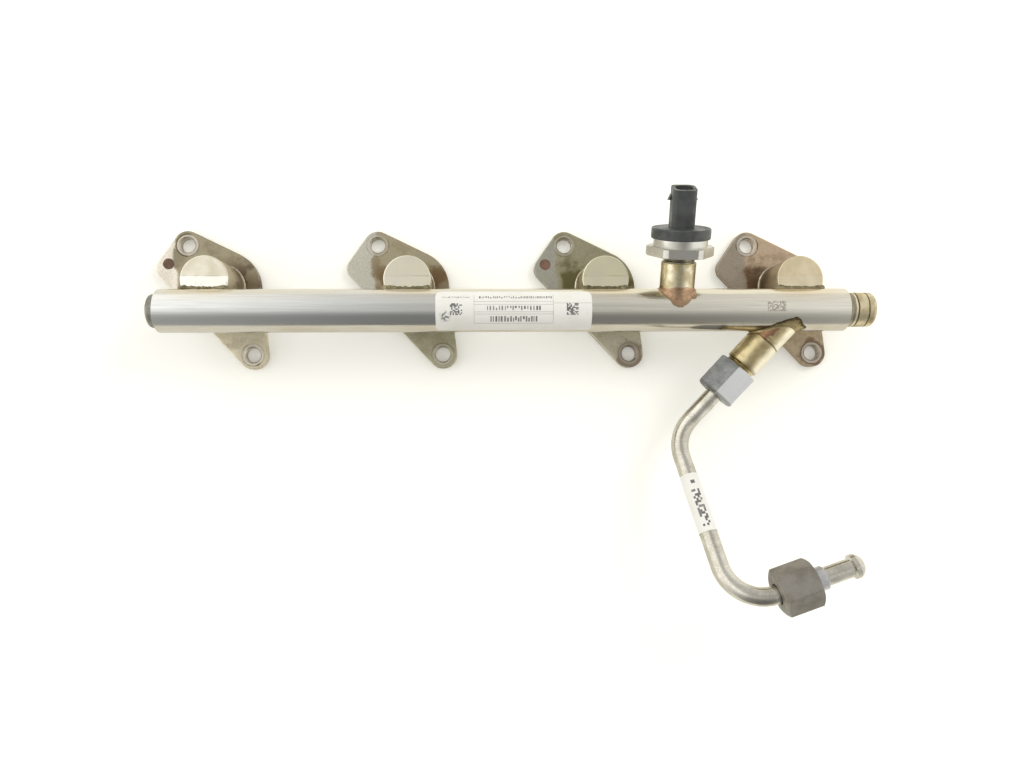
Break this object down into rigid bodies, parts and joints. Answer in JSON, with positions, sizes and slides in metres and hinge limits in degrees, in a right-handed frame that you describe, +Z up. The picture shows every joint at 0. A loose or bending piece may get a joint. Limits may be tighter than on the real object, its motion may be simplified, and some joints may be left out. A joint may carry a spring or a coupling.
{
  "type": "fuel rail",
  "caption": "Straight high-pressure fuel rail with injector cups on flat brackets, a pressure sensor and a bent feed pipe with union nuts.",
  "frame": {"origin": "axis of the first injector cup, in the plane of the bracket undersides", "axes": "+X along the rail to the inlet end, +Y away from the feed pipe, +Z up from the brackets"},
  "size_m": [0.3332, 0.1849, 0.064],
  "materials": {
    "rail_steel": "drawn stainless tube, satin",
    "pipe_steel": "drawn stainless pipe, bright satin",
    "cup_steel": "turned steel with a pale heat tint",
    "bracket_steel": "stamped steel with an olive-brown heat tint",
    "fitting_gold": "yellow zinc plate, turned",
    "braze_copper": "copper braze, matt",
    "braze_dark": "braze with dark oxide",
    "braze_bright": "braze, bright and thin",
    "nut_zinc": "zinc-nickel plate, satin",
    "nut_dark": "zinc-nickel plate, dark and matt",
    "plug_dark": "dark oxide, satin",
    "sensor_steel": "turned stainless steel",
    "sensor_plastic": "glass-filled moulding, matt",
    "contact_metal": "plated contact strip",
    "label_paper": "coated white paper",
    "label_ink": "dark print on a label",
    "paint_red": "red-brown marking paint, dry and thin"
  },
  "bodies": {
    "rail": {"rail_tube": "rail_steel", "rail_end_plug": "plug_dark", "rail_end_fitting": "fitting_gold", "end_fitting_braze": "braze_dark", "sensor_boss": "fitting_gold", "sensor_boss_braze": "braze_copper", "sensor_body": "sensor_steel", "sensor_connector_housing": "sensor_plastic", "sensor_pins": "contact_metal", "inlet_boss": "fitting_gold", "inlet_boss_braze": "braze_dark", "rail_union_nut": "nut_zinc", "rail_thrust_sleeve": "nut_zinc", "fuel_pipe": "pipe_steel", "rail_label": "label_paper", "pipe_label": "label_paper", "injector_cup_1": "cup_steel", "bracket_1": "bracket_steel", "cup_braze_1": "braze_dark", "bracket_braze_1": "braze_bright", "injector_cup_2": "cup_steel", "bracket_2": "bracket_steel", "cup_braze_2": "braze_dark", "bracket_braze_2": "braze_bright", "injector_cup_3": "cup_steel", "bracket_3": "bracket_steel", "cup_braze_3": "braze_dark", "bracket_braze_3": "braze_bright", "injector_cup_4": "cup_steel", "bracket_4": "bracket_steel", "cup_braze_4": "braze_dark", "bracket_braze_4": "braze_bright"},
    "pump_sleeve": {"pump_thrust_sleeve": "nut_zinc"},
    "pump_nut": {"pump_union_nut": "nut_dark"}
  },
  "joints": [
    {"name": "pump_sleeve_slide", "type": "slide", "parent": "rail", "child": "pump_sleeve", "axis": [0.9454, 0.3255, 0.0175], "range_m": [0, 0.01125]},
    {"name": "pump_nut_turn", "type": "hinge", "parent": "pump_sleeve", "child": "pump_nut", "pos_m": [0.25442, -0.13468, 0.05345], "axis": [0.9454, 0.3255, 0.0175], "continuous": true}
  ]
}
